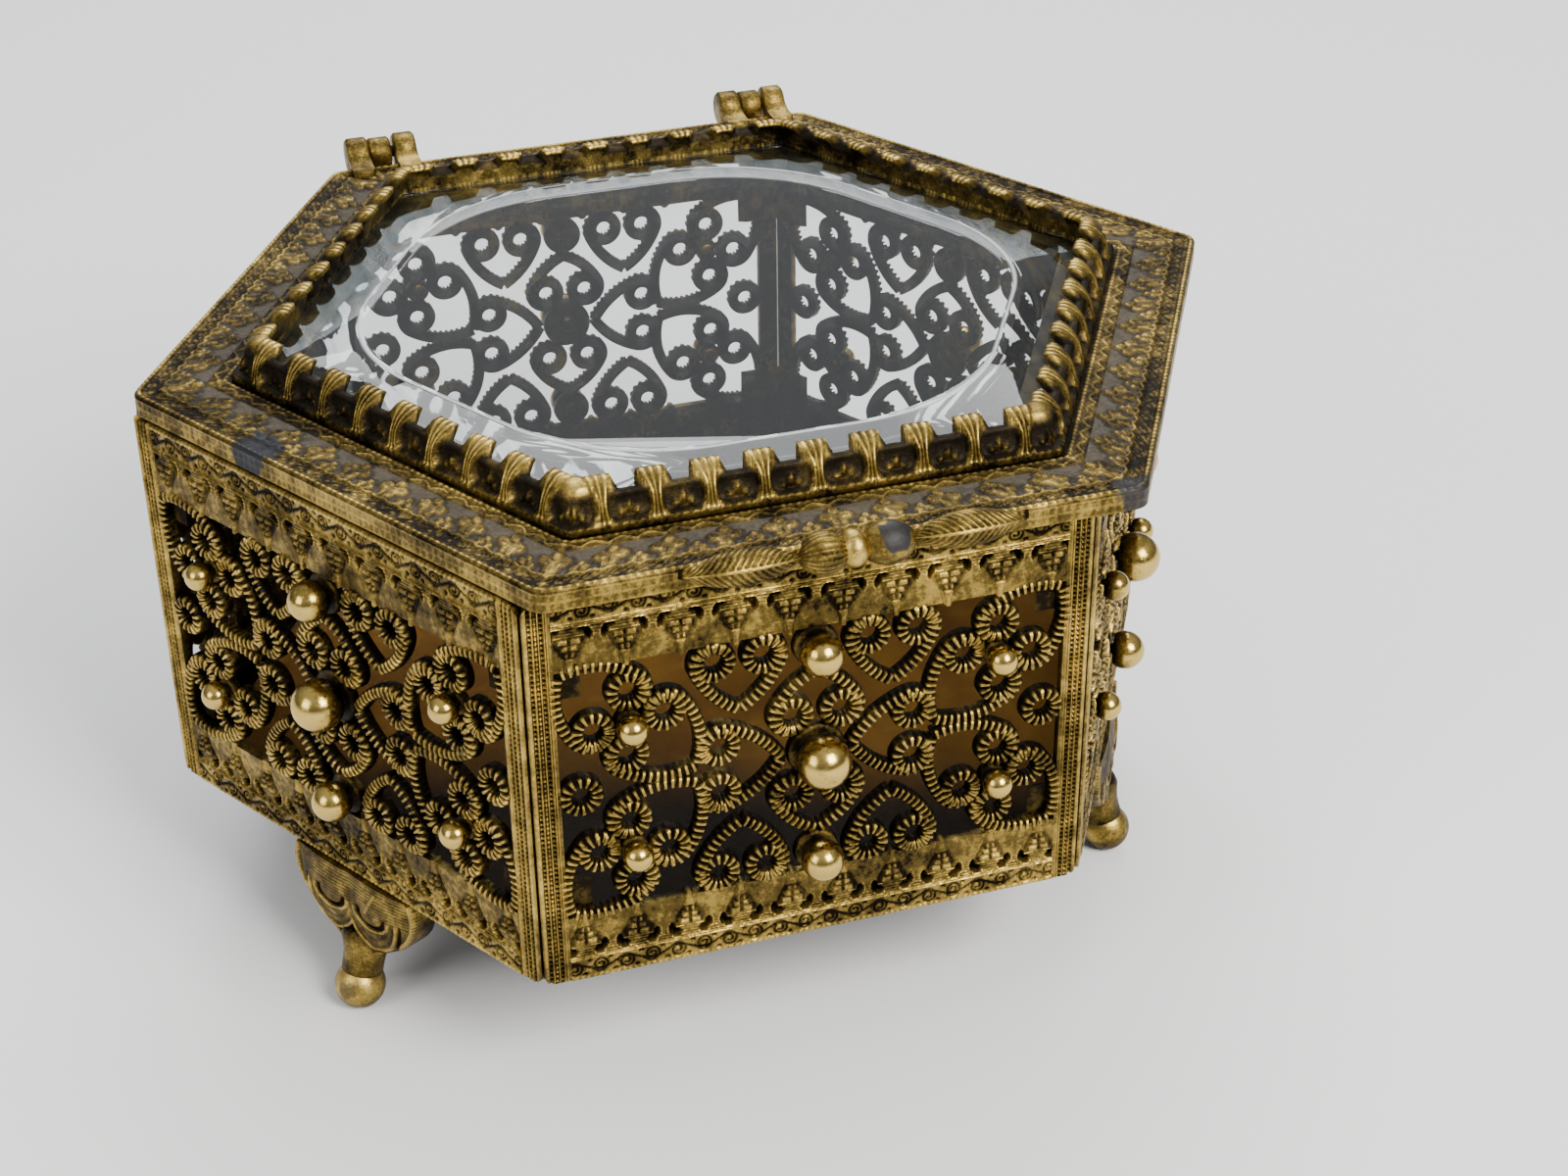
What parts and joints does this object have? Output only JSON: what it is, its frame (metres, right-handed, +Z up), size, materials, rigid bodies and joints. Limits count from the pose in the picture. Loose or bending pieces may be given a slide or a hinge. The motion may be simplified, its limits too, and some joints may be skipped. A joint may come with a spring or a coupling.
{
  "type": "glass casket box",
  "caption": "Six-sided keepsake box of pierced brass filigree panels on ball feet, with ball studs and a hinged lid that frames a bevelled glass pane.",
  "frame": {"origin": "on the ground under the centre of the closed box's bounding box", "axes": "+X to the right along the front panel, the longest extent; +Y to the back, where the hinges are; +Z up, the shortest extent"},
  "size_m": [0.1396, 0.1294, 0.0794],
  "materials": {
    "antique_brass": "cast and engraved, dark patina in the recesses, worn bright on the crests",
    "polished_brass": "rubbed bright",
    "old_brass": "dull, dark patina",
    "velvet": "short brown velvet pile",
    "clear_glass": "clear, ground and polished bevel"
  },
  "bodies": {
    "box": {"panel_front": "antique_brass", "panel_front_right": "antique_brass", "panel_back_right": "antique_brass", "panel_back": "antique_brass", "panel_back_left": "antique_brass", "panel_front_left": "antique_brass", "studs_front": "polished_brass", "studs_front_right": "polished_brass", "studs_back_right": "polished_brass", "studs_back": "polished_brass", "studs_back_left": "polished_brass", "studs_front_left": "polished_brass", "corner_straps_upper": "old_brass", "corner_straps_lower": "old_brass", "floor_plate": "old_brass", "floor_lining": "velvet", "foot_front_right": "antique_brass", "foot_back_right": "antique_brass", "foot_back_left": "antique_brass", "foot_front_left": "antique_brass", "foot_rivets": "old_brass", "hinge_bracket_left": "antique_brass", "hinge_bracket_right": "antique_brass"},
    "lid": {"lid_rim": "antique_brass", "glass_pane": "clear_glass", "glass_gallery": "antique_brass", "thumb_lift": "polished_brass", "hinge_eyes_left": "antique_brass", "hinge_eyes_right": "antique_brass", "hinge_pin_left": "old_brass", "hinge_pin_right": "old_brass"}
  },
  "joints": [
    {"name": "lid_hinge", "type": "hinge", "parent": "box", "child": "lid", "pos_m": [0, 0.06217, 0.07525], "axis": [-1, 0, 0], "range_deg": [0, 105]}
  ]
}
